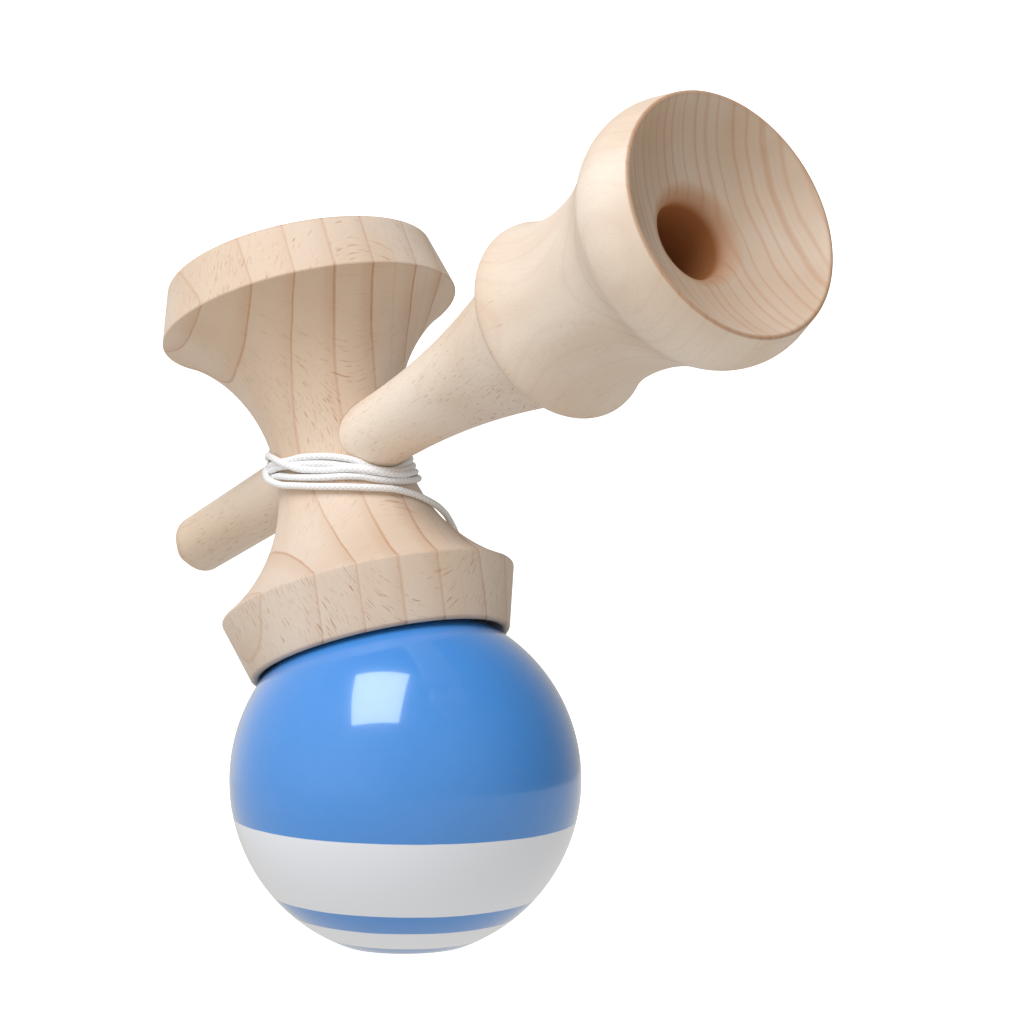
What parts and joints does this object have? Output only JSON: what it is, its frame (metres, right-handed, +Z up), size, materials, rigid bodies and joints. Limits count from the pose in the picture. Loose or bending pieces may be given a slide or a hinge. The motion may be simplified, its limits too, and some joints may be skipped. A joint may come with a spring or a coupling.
{
  "type": "cup and ball toy",
  "caption": "Wooden cup and ball toy: a spiked handle with a base cup through a cross-piece of two cups, standing on its lacquered ball with the string wound up.",
  "frame": {"origin": "centre of the mouth of the ball's spike hole, level with the surface the ball stands on", "axes": "+Z up; +X the heading of the handle from its spike to its base cup; +Y the side of the string hole"},
  "size_m": [0.1593, 0.061, 0.1402],
  "materials": {
    "lacquer": "gloss lacquer",
    "beech": "bare, sanded",
    "string": "braided"
  },
  "bodies": {
    "ball": {"ball": "lacquer"},
    "tether": {"bead": "beech", "bead_knot": "string", "cord_drop": "string"},
    "cross_piece": {"cross_cup": "beech", "cord_lead": "string", "cord_winding": "string", "cord_tail": "string", "cord_bridge": "string"},
    "handle": {"handle": "beech", "handle_knot": "string"}
  },
  "joints": [
    {"name": "ball_swivel", "type": "hinge", "parent": "ball", "child": "tether", "pos_m": [0, 0, 0.02845], "axis": [0, 0, 1], "continuous": true},
    {"name": "cup_lift", "type": "slide", "parent": "tether", "child": "cross_piece", "axis": [0, 0, 1], "range_m": [0, 0.03], "deforming": ["cord_bridge"]},
    {"name": "handle_draw", "type": "slide", "parent": "cross_piece", "child": "handle", "axis": [0.9397, 0, 0.342], "range_m": [0, 0.01]}
  ]
}
